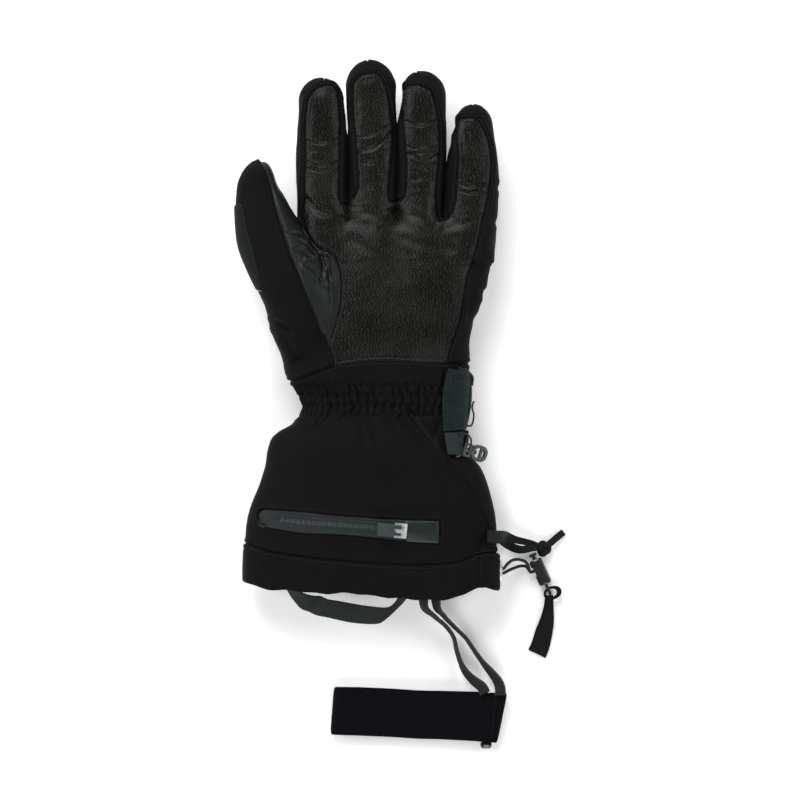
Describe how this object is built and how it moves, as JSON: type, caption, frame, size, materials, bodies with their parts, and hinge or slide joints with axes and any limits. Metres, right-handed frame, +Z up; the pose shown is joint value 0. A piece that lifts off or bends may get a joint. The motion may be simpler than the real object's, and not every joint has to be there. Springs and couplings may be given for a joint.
{
  "type": "heated glove",
  "caption": "Padded gauntlet glove lying palm up, with leather palm, gathered wrist, zipped cuff pocket, cord lock, wrist leash and open cuff.",
  "frame": {"origin": "on the surface the glove lies on, under the middle of all but the drawcord and what is on it", "axes": "+X to the little finger's side, +Y to the fingertips, +Z up out of the palm"},
  "size_m": [0.21, 0.4342, 0.0511],
  "materials": {
    "softshell": "matt woven softshell, near black",
    "leather": "pebbled black leather with a soft sheen",
    "grey_leather": "grained dark grey leather",
    "grey_tape": "smooth grey tape",
    "webbing": "ribbed dark webbing",
    "elastic": "black elastic",
    "grey_plastic": "moulded dark grey plastic, slightly glossy",
    "steel": "bright nickelled metal",
    "cord": "round braided cord"
  },
  "bodies": {
    "glove": {"hand_back": "softshell", "thumb_cloth": "softshell", "cuff_front": "softshell", "cuff_back": "softshell", "cuff_hem": "softshell", "zip_garage": "softshell", "palm_leather": "leather", "thumb_leather": "leather", "thumb_wiper": "grey_leather", "wrist_strap": "grey_leather", "strap_tab": "grey_leather", "zip_tape": "grey_tape", "zip_teeth": "grey_tape", "pull_loop": "grey_tape", "lock_ribbon_upper": "grey_tape", "lock_ribbon_lower": "grey_tape", "ribbon_knot": "grey_tape", "ribbon_tail": "grey_tape", "leash_strap_left": "webbing", "leash_strap_right": "webbing", "cord_pull": "webbing", "leash_band": "elastic", "leash_toggle": "grey_plastic", "cord_lock": "grey_plastic", "hook_eye": "grey_plastic", "grommet": "steel", "zip_slider": "steel", "tab_bar": "steel", "drawcord": "cord", "hook_cord": "cord", "side_cord": "cord"},
    "zip_pull": {"zip_pull": "grey_plastic"},
    "lock_button": {"cord_lock_button": "grey_plastic"},
    "hook_clip": {"hook_clip": "grey_plastic"}
  },
  "joints": [
    {"name": "zip_pull_fold", "type": "hinge", "parent": "glove", "child": "zip_pull", "pos_m": [0.00039, -0.07931, 0.04868], "axis": [0.0864, 0.9881, 0.1275], "range_deg": [0, 165]},
    {"name": "lock_button_push", "type": "slide", "parent": "glove", "child": "lock_button", "axis": [0.4115, -0.9114, 0], "range_m": [0, 0.002], "stiffness_N_per_m": 300, "springref_m": -0.001},
    {"name": "hook_swivel", "type": "hinge", "parent": "glove", "child": "hook_clip", "pos_m": [0.04278, -0.02802, 0.03611], "axis": [0.8295, -0.2489, -0.5], "continuous": true}
  ]
}
